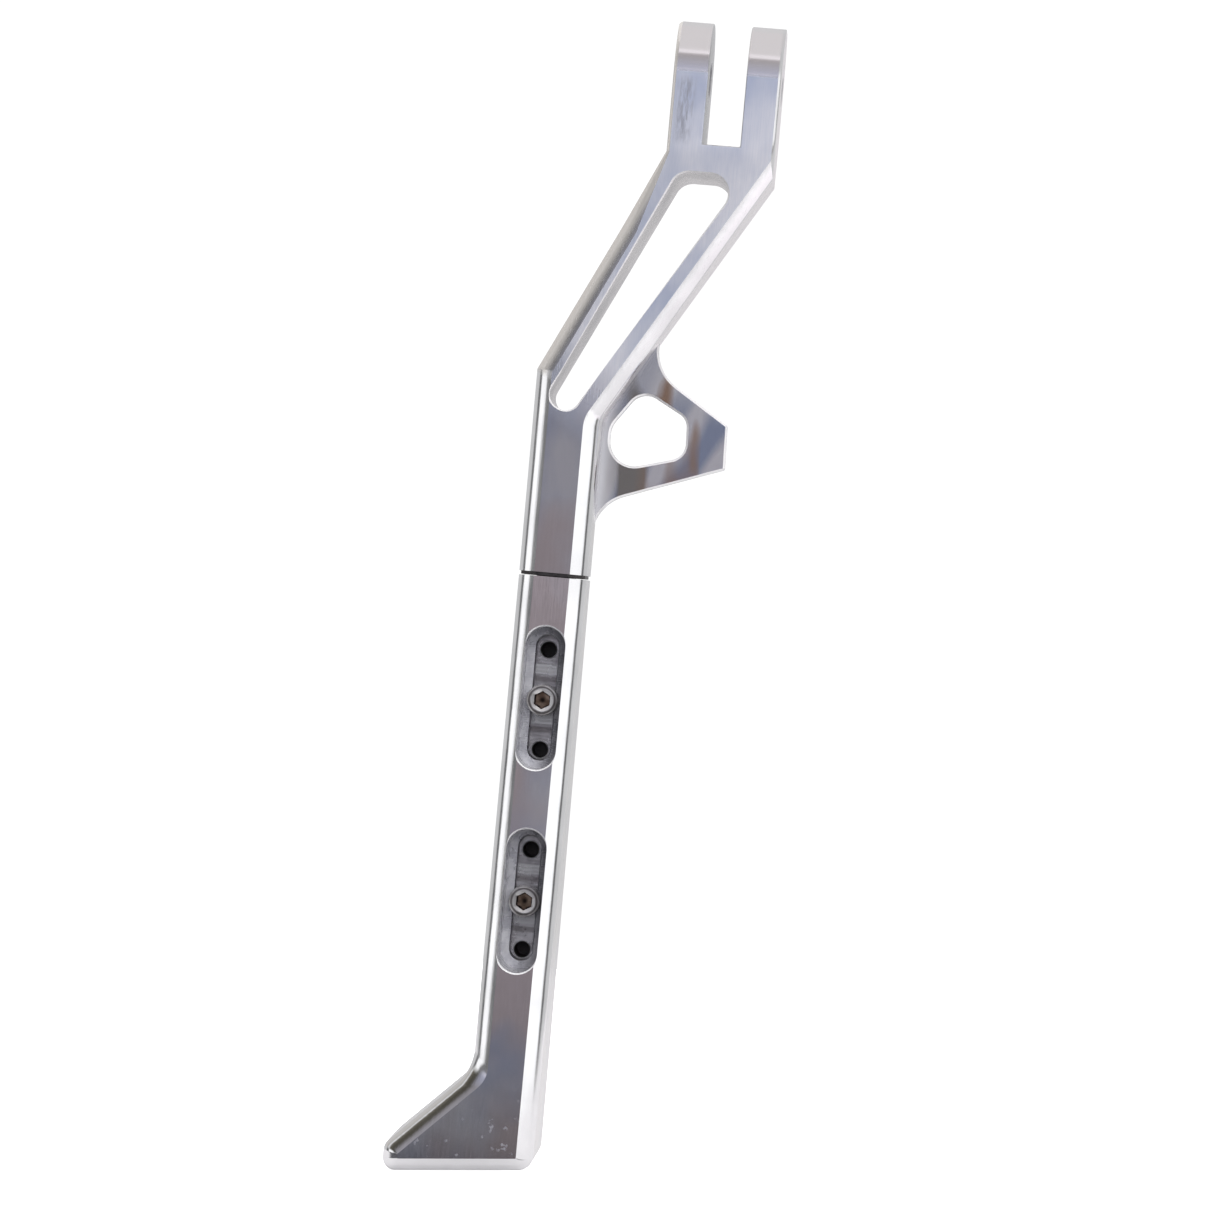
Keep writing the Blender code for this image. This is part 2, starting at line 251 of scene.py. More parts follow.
def grown(outline, distance):
    """The outline moved outwards, where it runs anticlockwise seen from the front."""
    moved = []
    for i, here in enumerate(outline):
        along = outline[(i + 1) % len(outline)] - outline[i - 1]
        along.normalize()
        moved.append(here + Vector((along.y, -along.x)) * distance)
    return moved


def outline_of(corners):
    """The rounded outline at the side wall."""
    points = [Vector((corner.x, corner.z)) for corner in corners]
    steps = [ARC_STEPS if corner.radius else 0 for corner in corners]
    return rounded(points, [corner.radius for corner in corners], steps)


def edge_section(walls, face, widths, share, side):
    """One ring of the edge rounding: share is 0 at the side wall and 1 at the face."""
    depth = EDGE_DEPTH_RATIO * (1 - share) ** 2 + EDGE_SLOPE_RATIO * 2 * share * (1 - share)
    ring = []
    for wall, inner, width in zip(walls, face, widths):
        point = wall.lerp(inner, share ** 2)
        ring.append((point.x, side * (LEG_HALF_DEPTH - depth * width), point.y))
    return ring


def billet(corners):
    """The outline through the leg's depth: flat faces, rounded long edges and side walls."""
    steps = [ARC_STEPS if c.radius or c.face_radius else 0 for c in corners]
    walls = rounded([Vector((c.x, c.z)) for c in corners], [c.radius for c in corners], steps)
    face = rounded(inset(corners), [c.face_radius for c in corners], steps)
    widths = []
    for corner, count in zip(corners, steps):
        for i in range(count + 1):
            share = i / count if count else float(corner.after > corner.before)
            widths.append(corner.before + (corner.after - corner.before) * share)
    shares = [i / EDGE_STEPS for i in range(EDGE_STEPS + 1)]
    front = [edge_section(walls, face, widths, share, -1) for share in reversed(shares)]
    back = [edge_section(walls, face, widths, share, 1) for share in shares]
    strips = [EDGE] * EDGE_STEPS + [WALL] + [EDGE] * EDGE_STEPS
    return loft(front + back, strips, FACE)


def upper_half_depth(z):
    """Half the thickness: flat on the leg, growing up the slanted member, round at the ears."""
    if z > 0:
        return math.sqrt(max(EAR_RADIUS ** 2 - z ** 2, 0))
    climbed = (z - ELBOW_Z) / (FORK_CREASE_Z - ELBOW_Z)
    return LEG_HALF_DEPTH + (EAR_RADIUS - LEG_HALF_DEPTH) * min(max(climbed, 0), 1)


def lower_half_depth(z):
    """Half the thickness, growing evenly from the joint line to the sole."""
    descended = (JOINT_LINE_Z - z) / (JOINT_LINE_Z - SOLE_TOE_Z)
    return LEG_HALF_DEPTH + (SOLE_HALF_DEPTH - LEG_HALF_DEPTH) * descended


def thicken(bm, half_depth, creases=()):
    """Gives the constant-depth billet its thickness along z, with an edge loop at each crease."""
    for level in creases:
        geometry = [*bm.verts, *bm.edges, *bm.faces]
        bmesh.ops.bisect_plane(bm, geom=geometry, plane_co=(0, 0, level), plane_no=(0, 0, 1))
    for vertex in bm.verts:
        below_face = LEG_HALF_DEPTH - abs(vertex.co.y)
        depth = half_depth(vertex.co.z)
        if vertex.co.z > 0:
            below_face *= depth / EAR_RADIUS
        vertex.co.y = math.copysign(depth - below_face, vertex.co.y)
    bmesh.ops.remove_doubles(bm, verts=bm.verts, dist=WELD)
    bmesh.ops.dissolve_degenerate(bm, edges=bm.edges, dist=WELD)


def layered(outline, layers, material=0):
    """A cutter through an outline. Each layer is (y, growth), where y may be a function of z."""
    sections = []
    for y, growth in layers:
        ring = grown(outline, growth) if growth else outline
        level = y if callable(y) else (lambda z, y=y: y)
        sections.append([(p.x, level(p.y), p.y) for p in ring])
    return loft(sections, [material] * (len(layers) - 1), material)


def turned(profile, axis, centre, material=0):
    """A solid of (position along the axis, radius) pairs."""
    angles = [math.tau * i / ROUND_SIDES for i in range(ROUND_SIDES)]
    sections = []
    for position, radius in profile:
        ring = []
        for angle in angles:
            a, b = radius * math.cos(angle), radius * math.sin(angle)
            offset = Vector((position, a, b)) if axis == "x" else Vector((a, position, b))
            ring.append(Vector(centre) + offset)
        sections.append(ring)
    return loft(sections, [material] * (len(profile) - 1), material)


def box(low, high, material=0):
    (x0, y0, z0), (x1, y1, z1) = low, high
    sections = [[(x0, y, z0), (x1, y, z0), (x1, y, z1), (x0, y, z1)] for y in (y0, y1)]
    return loft(sections, [material], material)


def object_from(name, bm, materials):
    mesh = bpy.data.meshes.new(name)
    bm.to_mesh(mesh)
    bm.free()
    for material in materials:
        mesh.materials.append(material)
    obj = bpy.data.objects.new(name, mesh)
    bpy.context.scene.collection.objects.link(obj)
    return obj


def joined(solids):
    """Several separate solids in one mesh."""
    whole = bmesh.new()
    for solid in solids:
        mesh = bpy.data.meshes.new("solid")
        solid.to_mesh(mesh)
        solid.free()
        whole.from_mesh(mesh)
        bpy.data.meshes.remove(mesh)
    return whole


def carve(obj, steps, materials):
    """Applies a list of (operation, bmesh) Booleans and replaces the object's mesh."""
    helpers = []
    for number, (operation, bm) in enumerate(steps):
        helper = object_from(f"{obj.name}_helper_{number}", bm, materials)
        modifier = obj.modifiers.new(helper.name, "BOOLEAN")
        modifier.operation = operation
        modifier.solver = "EXACT"
        modifier.material_mode = "TRANSFER"
        modifier.object = helper
        helpers.append(helper)
    bake(obj)
    for helper in helpers:
        mesh = helper.data
        bpy.data.objects.remove(helper)
        bpy.data.meshes.remove(mesh)


def bake(obj):
    """Applies the object's modifiers."""
    graph = bpy.context.evaluated_depsgraph_get()
    graph.update()
    mesh = bpy.data.meshes.new_from_object(obj.evaluated_get(graph))
    obj.modifiers.clear()
    old = obj.data
    obj.data = mesh
    mesh.name = obj.name
    bpy.data.meshes.remove(old)


def finish_shading(obj):
    """Smooth shading with sharp arrises, weighted so that the flat faces stay flat."""
    obj.data.shade_smooth()
    obj.data.set_sharp_from_angle(angle=SHARP_ANGLE)
    weighted = obj.modifiers.new("weighted", "WEIGHTED_NORMAL")
    weighted.keep_sharp = True
    bake(obj)


def break_fork_edges(obj):
    """Bevels the arrises of the fork's gap."""
    bm = bmesh.new()
    bm.from_mesh(obj.data)
    chosen = []
    for edge in bm.edges:
        if len(edge.link_faces) != 2 or edge.calc_face_angle(0) < ARRIS_ANGLE:
            continue
        ends = [vertex.co for vertex in edge.verts]
        on_wall = all(abs(abs(co.x) - FORK_GAP / 2) < ON_PLANE for co in ends)
        above_floor = all(co.z > FORK_GAP_FLOOR_Z - 1e-6 for co in ends)
        outside = all(abs(co.y) > upper_half_depth(co.z) - 5e-5 for co in ends)
        on_floor = all(abs(co.z - FORK_GAP_FLOOR_Z) < ON_PLANE for co in ends)
        if outside and above_floor and (on_wall or on_floor):
            chosen.append(edge)
    bmesh.ops.bevel(
        bm, geom=chosen, offset=GAP_BREAK, segments=3, profile=0.5, affect="EDGES",
        clamp_overlap=False, material=-1,
    )
    bm.to_mesh(obj.data)
    bm.free()


# ---------------------------------------------------------------- pieces

def hole_z(index):
    return TOP_HOLE_Z - index * HOLE_PITCH


def upper_leg_corners():
    """The leg, the slanted member and the fork, anticlockwise from the joint line's left end."""
    slant = Vector((LEG_LEFT_X + FORK_HALF_WIDTH, ELBOW_Z - FORK_LEFT_BEND_Z)).normalized()
    full = Vector((-FORK_HALF_WIDTH, FORK_LEFT_BEND_Z)) + slant * EDGE_RUN_IN
    edge, small, bend = EDGE_WIDTH, FORK_BREAK, INNER_ELBOW_RADIUS
    return [
        Corner(LEG_LEFT_X, JOINT_LINE_Z, before=edge),
        Corner(LEG_RIGHT_X, JOINT_LINE_Z, after=edge),
        Corner(LEG_RIGHT_X, INNER_ELBOW_Z, bend, bend, edge, RIGHT_EDGE_END_WIDTH),
        Corner(FORK_HALF_WIDTH, FORK_RIGHT_BEND_Z, before=RIGHT_EDGE_TOP_WIDTH, after=small),
        Corner(FORK_HALF_WIDTH, FORK_RIGHT_BEND_Z + RIGHT_EDGE_RUN_OUT, before=small, after=small),
        Corner(FORK_HALF_WIDTH, EAR_RADIUS, before=small),
        Corner(-FORK_HALF_WIDTH, EAR_RADIUS, after=small),
        Corner(-FORK_HALF_WIDTH, FORK_LEFT_BEND_Z, before=small, after=small),
        Corner(full.x, full.y, before=edge, after=edge),
        Corner(LEG_LEFT_X, ELBOW_Z, before=edge, after=edge),
    ]


def window_corners():
    """The lightening window between the two rails of the slanted member."""
    return [
        Corner(-0.0485, -0.1063, 0.0045),
        Corner(-0.0403, -0.1107, 0.0045),
        Corner(0.0082, -0.0316, 0.006),
        Corner(-0.0126, -0.0316, 0.006),
    ]


def tab_corners():
    """The thin plate that the rider's heel pushes. Its first corner and last three lie inside."""
    return [
        Corner(LEG_RIGHT_X - 0.001, -0.156),
        Corner(LEG_RIGHT_X, -0.1374, 0.014),
        Corner(0.0095, -0.1231, 0.0008),
        Corner(0.0091, -0.1090, 0.0008),
        Corner(-0.0194, -0.0909, 0.014),
        Corner(-0.0051, -0.0645),
        Corner(LEG_X, -0.118),
        Corner(LEG_X, -0.156),
    ]


def tab_hole_corners():
    """The hole in the tab, beside the leg."""
    return [
        Corner(-0.0189, -0.0998, 0.006),
        Corner(-0.0279, -0.1124, 0.008),
        Corner(-0.0279, -0.1270, 0.008),
        Corner(-0.0034, -0.1202, 0.0055),
        Corner(-0.0039, -0.1079, 0.005),
    ]


def prong_corner(x, side, radius):
    """What is cut from one corner of a prong's tip to round it."""
    centre_x, centre_z = x - side * radius, EAR_RADIUS - radius
    outline = [(centre_x, 2 * EAR_RADIUS), (x + side * radius, 2 * EAR_RADIUS)]
    outline.append((x + side * radius, centre_z))
    for i in range(ARC_STEPS + 1):
        turn = math.pi / 2 * i / ARC_STEPS
        outline.append((
            centre_x + side * radius * math.cos(turn), centre_z + radius * math.sin(turn),
        ))
    sections = [[(px, y, pz) for px, pz in outline] for y in (-THROUGH, THROUGH)]
    return loft(sections, [FACE], FACE)


def shoulder():
    """What fills the joint line inside its groove: the leg's section with its corners cut off."""
    x, y, cut = LEG_HALF_WIDTH - GROOVE_DEPTH, LEG_HALF_DEPTH - GROOVE_DEPTH, GROOVE_CORNER
    section = [
        (x, y - cut), (x - cut, y), (cut - x, y), (-x, y - cut),
        (-x, cut - y), (cut - x, -y), (x - cut, -y), (x, cut - y),
    ]
    end_z = JOINT_LINE_Z - JOINT_LINE_GAP + SLIDING_GAP
    levels = (end_z, JOINT_LINE_Z + GROOVE_DEPTH)
    return loft([[(LEG_X + px, py, z) for px, py in section] for z in levels], [BORE], BORE)


def make_upper_leg(materials):
    """One solid of billet, tab, shoulder and tongue, less the window, holes, gap and bore."""
    bm = billet(upper_leg_corners())
    turns = [math.pi / 2 * i / EAR_STEPS for i in range(EAR_STEPS)]
    ear_levels = [EAR_RADIUS * math.sin(turn) for turn in turns]
    thicken(bm, upper_half_depth, [ELBOW_Z, FORK_CREASE_Z, *ear_levels])
    leg = object_from("kickstand_upper_leg", bm, materials)
    half_tongue = TONGUE_WIDTH / 2
    back = TAB_FRONT_Y + TAB_THICKNESS
    tab = layered(outline_of(tab_corners()), [
        (TAB_FRONT_Y, -TAB_BREAK), (TAB_FRONT_Y + TAB_BREAK * 0.5, 0),
        (back - TAB_BREAK * 0.5, 0), (back, -TAB_BREAK),
    ], TAB)
    hole = layered(outline_of(tab_hole_corners()), [
        (0, TAB_BREAK), (TAB_FRONT_Y, TAB_BREAK), (TAB_FRONT_Y + TAB_BREAK * 0.6, 0),
        (back - TAB_BREAK * 0.6, 0), (back, TAB_BREAK), (back + 0.002, TAB_BREAK),
    ], TAB)
    window = layered(outline_of(window_corners()), [
        (-THROUGH, WINDOW_BREAK),
        (lambda z: -upper_half_depth(z), WINDOW_BREAK),
        (lambda z: WINDOW_BREAK - upper_half_depth(z), 0),
        (lambda z: upper_half_depth(z) - WINDOW_BREAK, 0),
        (upper_half_depth, WINDOW_BREAK),
        (THROUGH, WINDOW_BREAK),
    ], WINDOW)
    radius, flare = PIVOT_BORE / 2, BORE_BREAK
    outer, inner = FORK_HALF_WIDTH, FORK_GAP / 2
    bore = turned([
        (-THROUGH, radius + flare), (-outer, radius + flare), (-outer + flare, radius),
        (-inner - flare, radius), (-inner, radius + flare), (inner, radius + flare),
        (inner + flare, radius), (outer - flare, radius), (outer, radius + flare),
        (THROUGH, radius + flare),
    ], "x", (0, 0, 0), MILLED)
    radius, flare = HOLE_DIAMETER / 2, HOLE_BREAK
    holes = joined(
        turned([
            (TONGUE_FRONT_Y - 0.002, radius + flare), (TONGUE_FRONT_Y, radius + flare),
            (TONGUE_FRONT_Y + flare, radius), (HOLE_END_Y, radius),
        ], "y", (LEG_X, 0, hole_z(i)), BORE)
        for i in range(HOLE_COUNT)
    )
    carve(leg, [
        ("UNION", tab),
        ("UNION", shoulder()),
        ("UNION", box(
            (LEG_X - half_tongue, TONGUE_FRONT_Y, TONGUE_TIP_Z),
            (LEG_X + half_tongue, TONGUE_BACK_Y, JOINT_LINE_Z + TONGUE_ROOT), TONGUE,
        )),
        ("DIFFERENCE", window),
        ("DIFFERENCE", hole),
        ("DIFFERENCE", box(
            (-FORK_GAP / 2, -THROUGH, FORK_GAP_FLOOR_Z), (FORK_GAP / 2, THROUGH, THROUGH),
            MILLED,
        )),
        ("DIFFERENCE", bore),
        ("DIFFERENCE", holes),
    ], materials)
    break_fork_edges(leg)
    corners = joined(prong_corner(*corner) for corner in PRONG_CORNERS)
    carve(leg, [("DIFFERENCE", corners)], materials)
    finish_shading(leg)
    return leg


def lower_leg_corners():
    """The lower leg and its foot, anticlockwise from the joint line's left end."""
    edge, sole = EDGE_WIDTH, SOLE_EDGE_WIDTH
    top = JOINT_LINE_Z - JOINT_LINE_GAP
    return [
        Corner(LEG_LEFT_X, top, after=edge),
        Corner(LEG_LEFT_X, HEEL_BEND_Z, 0.016, 0.009, edge, edge),
        Corner(TOE_X, TOE_TOP_Z, 0.005, 0.0005, edge, edge),
        Corner(TOE_X, SOLE_TOE_Z, 0.004, 0.0002, edge, sole),
        Corner(LEG_RIGHT_X, SOLE_HEEL_Z, 0.0045, 0.0002, sole, edge),
        Corner(LEG_RIGHT_X, top, before=edge),
    ]


def stadium(centre_z, width):
    """A straight slot's outline with round ends, standing along the leg."""
    radius = width / 2
    reach = SLOT_ARC_SPACING / 2 + radius
    # Just under half the width, so that the two arcs of an end don't meet in a single point
    return outline_of([
        Corner(LEG_X + side * radius, centre_z + end * reach, radius * 0.999)
        for side, end in ((-1, -1), (1, -1), (1, 1), (-1, 1))
    ])


def make_lower_leg(materials):
    """The billet with the tongue's channel, and the two slots inside their pockets."""
    bm = billet(lower_leg_corners())
    thicken(bm, lower_half_depth)
    leg = object_from("kickstand_lower_leg", bm, materials)
    half_channel = TONGUE_WIDTH / 2 + SLIDING_GAP
    centres = [hole_z(hole) + SLOT_RISE for hole in SCREW_HOLES.values()]
    pockets = joined(
        layered(stadium(z, POCKET_WIDTH), [
            (-THROUGH, POCKET_BREAK),
            (lambda z: -lower_half_depth(z), POCKET_BREAK),
            (lambda z: POCKET_BREAK - lower_half_depth(z), 0),
            (LEDGE_Y, 0),
        ], POCKET)
        for z in centres
    )
    slots = joined(
        layered(stadium(z, SLOT_WIDTH), [
            (LEDGE_Y - 0.003, HOLE_BREAK), (LEDGE_Y, HOLE_BREAK),
            (LEDGE_Y + HOLE_BREAK, 0), (THROUGH, 0),
        ], MILLED)
        for z in centres
    )
    carve(leg, [
        ("DIFFERENCE", box(
            (LEG_X - half_channel, TONGUE_FRONT_Y - SLIDING_GAP, CHANNEL_END_Z),
            (LEG_X + half_channel, THROUGH, JOINT_LINE_Z), MILLED,
        )),
        ("DIFFERENCE", pockets),
        ("DIFFERENCE", slots),
    ], materials)
    finish_shading(leg)
    return leg


def circle_ring(radius, height, ripple=0.0):
    """A circle, every second point of which is moved in by the ripple."""
    ring = []
    for i in range(ROUND_SIDES):
        angle = math.tau * i / ROUND_SIDES
        reach = radius - ripple * (i % 2)
        ring.append((reach * math.cos(angle), reach * math.sin(angle), height))
    return ring


def hexagon_ring(across_flats, height):
    """A hexagon with as many points as the circles, so that the two can be lofted together."""
    ring = []
    for i in range(ROUND_SIDES):
        angle = math.tau * i / ROUND_SIDES
        off_flat = (angle + math.pi / 6) % (math.pi / 3) - math.pi / 6
        reach = across_flats / 2 / math.cos(off_flat)
        ring.append((reach * math.cos(angle), reach * math.sin(angle), height))
    return ring


def make_screw(name, material):
    """The screw along +Z, with the underside of its head at z = 0, then turned to face -Y."""
    start = LEDGE_Y - TONGUE_FRONT_Y + 2 * SLIDING_GAP
    rings = [circle_ring(CORE_RADIUS - TIP_CHAMFER, -SHANK_LENGTH)]
    height = TIP_LENGTH - SHANK_LENGTH
    while height < start - THREAD_PITCH:
        rings.append(circle_ring(CORE_RADIUS - THREAD_DEPTH, height))
        rings.append(circle_ring(CORE_RADIUS, height + THREAD_PITCH * 0.45))
        rings.append(circle_ring(CORE_RADIUS, height + THREAD_PITCH * 0.55))
        height += THREAD_PITCH
    rings += [
        circle_ring(CORE_RADIUS, start),
        circle_ring(SHANK_RADIUS, start),
        circle_ring(SHANK_RADIUS, 0),
        circle_ring(HEAD_RADIUS - HEAD_CHAMFER, 0),
        circle_ring(HEAD_RADIUS, HEAD_CHAMFER),
        circle_ring(HEAD_RADIUS, KNURL_START, KNURL_DEPTH),
        circle_ring(HEAD_RADIUS, HEAD_HEIGHT - KNURL_BELOW_TOP, KNURL_DEPTH),
        *(circle_ring(HEAD_RADIUS - inward, HEAD_HEIGHT - down) for inward, down in HEAD_RIM),
        circle_ring(SOCKET_MOUTH_RADIUS, HEAD_HEIGHT),
        hexagon_ring(SOCKET_ACROSS_FLATS, HEAD_HEIGHT - SOCKET_MOUTH_DEPTH),
        hexagon_ring(SOCKET_ACROSS_FLATS, HEAD_HEIGHT - SOCKET_DEPTH + SOCKET_FLOOR_DEPTH),
        circle_ring(SOCKET_ACROSS_FLATS / 2 * SOCKET_FLOOR_SHARE, HEAD_HEIGHT - SOCKET_DEPTH),
    ]
    screw = object_from(f"kickstand_{name}", loft(rings), [material])
    screw.data.transform(
        Matrix.Translation((LEG_X, LEDGE_Y - SLIDING_GAP, hole_z(SCREW_HOLES[name])))
        @ Matrix.Rotation(math.pi / 2, 4, "X")
    )
    finish_shading(screw)
    return screw


# ---------------------------------------------------------------- materials

FACE, EDGE, WALL, TAB, WINDOW, MILLED, TONGUE, BORE, POCKET = range(9)

PALE = (0.82, 0.82, 0.83)
WHITE = (1.0, 1.0, 1.0)
# Painted highlight: the near-white that the edge breaks of the tab and the window are painted with
RIM_HIGHLIGHT = (1.0, 0.99, 0.99)
# Height from which the foot is specked, down to where it is specked in full
SPECKS_Z = (-0.322, -0.332)
# Worn patch on the left prong: where it starts, is full, is last full and ends
WORN_X = (-0.0158, -0.0140, -0.0112, -0.0088)
WORN_Z = (-0.0235, -0.0190, -0.0040, -0.0010)


class Graph:
    """Short spellings for shader nodes. A value is a number, a colour or a node's output."""

    def __init__(self, tree):
        self.tree = tree

    def add(self, kind, **settings):
        node = self.tree.nodes.new(kind)
        for key, value in settings.items():
            setattr(node, key, value)
        return node

    def link(self, source, target):
        if isinstance(source, tuple):
            target.default_value = (*source, 1)
        elif isinstance(source, (int, float)):
            target.default_value = source
        else:
            self.tree.links.new(source, target)

    def maths(self, operation, *values):
        node = self.add("ShaderNodeMath", operation=operation)
        for value, target in zip(values, node.inputs):
            self.link(value, target)
        return node.outputs[0]

    def product(self, first, *others):
        for other in others:
            first = self.maths("MULTIPLY", first, other)
        return first

    def mix(self, factor, a, b, **settings):
        """Two colours mixed."""
        node = self.add("ShaderNodeMix", data_type="RGBA", **settings)
        for value, index in ((factor, 0), (a, 6), (b, 7)):
            self.link(value, node.inputs[index])
        return node.outputs[2]

    def ramp(self, value, stops, reach, gain=1.0):
        """A colour ramp. Its value runs from 0 to 1 as the stops run from -reach to reach."""
        node = self.add("ShaderNodeValToRGB")
        elements = node.color_ramp.elements
        places = [(place / reach + 1) / 2 for place, _ in stops]
        elements[0].position, elements[1].position = places[0], places[-1]
        for place in places[1:-1]:
            elements.new(place)
        for element, (_, level) in zip(elements, stops):
            colour = level if isinstance(level, tuple) else (level, level, level)
            element.color = (*(part * gain for part in colour), 1)
        self.link(value, node.inputs["Fac"])
        return node.outputs["Color"]


class Surface(Graph):
    """The nodes of one material, by the place on the object."""

    def __init__(self, name):
        self.material = bpy.data.materials.new(name)
        self.material.use_nodes = True
        super().__init__(self.material.node_tree)
        self.shader = self.tree.nodes["Principled BSDF"]
        self.place = self.add("ShaderNodeTexCoord").outputs["Object"]

    def mapped(self, **settings):
        mapping = self.add("ShaderNodeMapping")
        self.link(self.place, mapping.inputs["Vector"])
        for name, value in settings.items():
            mapping.inputs[name].default_value = value
        return mapping.outputs["Vector"]

    def along(self, axis):
        split = self.add("ShaderNodeSeparateXYZ")
        self.link(self.place, split.inputs[0])
        return split.outputs[axis]

    def noise(self, scale, detail=3.0, stretch=(1, 1, 1), roughness=0.5):
        node = self.add("ShaderNodeTexNoise")
        self.link(self.mapped(Scale=stretch), node.inputs["Vector"])
        for name, value in (("Scale", scale), ("Detail", detail), ("Roughness", roughness)):
            node.inputs[name].default_value = value
        return node.outputs["Fac"]

    def wave(self, place, scale, distortion, detail, detail_scale, **settings):
        node = self.add("ShaderNodeTexWave", **settings)
        self.link(place, node.inputs["Vector"])
        for name, value in (("Scale", scale), ("Distortion", distortion),
                            ("Detail", detail), ("Detail Scale", detail_scale)):
            node.inputs[name].default_value = value
        return node.outputs["Fac"]

    def swirl(self, scale):
        """Arcs round the middle of the lower leg, as an end mill leaves them."""
        place = self.mapped(Location=(-LEG_X, 0, -SWIRL_Z))
        return self.wave(place, scale, 3.5, 2.0, 1.5, wave_type="RINGS", rings_direction="Y")

    def spread(self, value, low, high, to_low=0.0, to_high=1.0):
        """The value from low to high, carried over to a new range and held at its ends."""
        node = self.add("ShaderNodeMapRange")
        for source, name in ((value, "Value"), (low, "From Min"), (high, "From Max"),
                             (to_low, "To Min"), (to_high, "To Max")):
            self.link(source, node.inputs[name])
        return node.outputs["Result"]

    def between(self, value, start, full, last_full, end):
        """From 0 at the start to 1 where it is full, and back to 0 at the end."""
        rising = self.spread(value, start, full)
        return self.product(rising, self.spread(value, end, last_full))

    def shades(self, value, dark, light, low=0.35, high=0.65):
        return self.mix(self.spread(value, low, high), dark, light)

    def blend(self, factor, a, b):
        """Two numbers mixed."""
        node = self.add("ShaderNodeMix", data_type="FLOAT")
        for value, index in ((factor, 0), (a, 2), (b, 3)):
            self.link(value, node.inputs[index])
        return node.outputs[0]

    def past_elbow(self, low, high):
        """From 0 to 1 across the crease of the elbow, by the distance up from it."""
        lean = (INNER_ELBOW_Z - ELBOW_Z) / (2 * LEG_HALF_WIDTH)
        level = self.maths("ADD", self.product(self.along("X"), -lean), self.along("Z"))
        crease = (ELBOW_Z + INNER_ELBOW_Z) / 2 - lean * LEG_X
        return self.spread(level, crease + low, crease + high)

    def bump(self, value, distance, normal=None):
        node = self.add("ShaderNodeBump")
        node.inputs["Strength"].default_value = 1
        node.inputs["Distance"].default_value = distance
        self.link(value, node.inputs["Height"])
        if normal:
            self.link(normal, node.inputs["Normal"])
        return node.outputs["Normal"]

    def metal(self, colour, roughness, metallic, normal):
        for value, name in ((colour, "Base Color"), (roughness, "Roughness"),
                            (metallic, "Metallic"), (normal, "Normal")):
            self.link(value, self.shader.inputs[name])
        return self.material


def face_metal():
    """The flat faces: polished on the leg, satin on the slanted member, brushed on the fork."""
    n = Surface("face_aluminium")
    x, z = n.along("X"), n.along("Z")
    satin = n.past_elbow(-0.012, 0.018)
    ear = n.spread(z, -0.0004, 0.0008)
    blotch = n.noise(38, 4, (1, 1, 0.6))
    cloud = n.noise(26, 3, (1, 1, 0.7))
    brush = n.noise(1, 3, (2600, 2600, 70), 0.6)
    cool = n.shades(blotch, (0.66, 0.71, 0.84), (0.95, 0.95, 0.97), 0.38, 0.62)
    polished = n.shades(cloud, cool, (0.90, 0.79, 0.76), 0.44, 0.60)
    brushed = n.shades(brush, (0.80, 0.82, 0.90), (0.94, 0.94, 0.99), 0.25, 0.75)
    brushed = n.mix(n.spread(blotch, 0.36, 0.60, 0.0, 0.9), brushed, (0.52, 0.58, 0.74))
    specks = n.product(n.spread(n.noise(330, 2), 0.65, 0.71), n.spread(z, *SPECKS_Z))
    scuffs = n.spread(n.noise(1, 4, (1200, 1200, 170), 0.7), 0.40, 0.62)
    worn = n.product(scuffs, 0.8, n.between(x, *WORN_X), n.between(z, *WORN_Z))
    colour = n.mix(satin, polished, brushed)
    colour = n.mix(ear, colour, (0.93, 0.91, 0.92))
    colour = n.mix(specks, colour, (0.95, 0.95, 0.96))
    colour = n.mix(worn, colour, (0.38, 0.39, 0.45))
    roughness = n.spread(satin, 0, 1, 0.11, 0.36)
    roughness = n.maths("ADD", roughness, n.spread(brush, 0.3, 0.7, -0.04, 0.05))
    roughness = n.blend(specks, n.blend(ear, roughness, 0.15), 0.5)
    metallic = n.blend(ear, n.spread(satin, 0, 1, 1.0, 0.42), 0.9)
    fine = n.bump(n.product(brush, n.spread(satin, 0, 1, 0.1, 1.0)), 0.000006)
    return n.metal(colour, roughness, metallic, n.bump(n.noise(45, 2), 0.00005, fine))


def edge_metal():
    """The rounded edges: polished along the leg, satin beside the slanted member, with a painted
    reflection on the outer part there.
    """
    n = Surface("edge_aluminium")
    satin = n.past_elbow(-0.001, 0.001)
    streak = n.noise(1, 4, (1300, 1300, 40), 0.6)
    slant = Vector((LEG_LEFT_X + FORK_HALF_WIDTH, ELBOW_Z - FORK_LEFT_BEND_Z)).normalized()
    offset = slant.y * FORK_HALF_WIDTH + slant.x * FORK_LEFT_BEND_Z
    inward = n.maths("SUBTRACT", n.product(n.along("Z"), slant.x), offset)
    inward = n.maths("SUBTRACT", inward, n.product(n.along("X"), slant.y))
    # Painted reflection: beside the slanted member the outer part of the rounding is painted pale
    # beige and less metallic
    outer = n.product(satin, n.spread(inward, EDGE_WIDTH * 0.85, EDGE_WIDTH * 0.5))
    colour = n.mix(outer, n.shades(n.noise(60, 4), PALE, (0.93, 0.93, 0.94)), (0.86, 0.83, 0.79))
    roughness = n.maths("ADD", n.spread(streak, 0.3, 0.7, 0.08, 0.15), n.product(satin, 0.13))
    wave = n.bump(n.noise(70, 2), 0.00003, n.bump(streak, 0.000012))
    return n.metal(colour, roughness, n.blend(outer, 1.0, 0.45), wave)


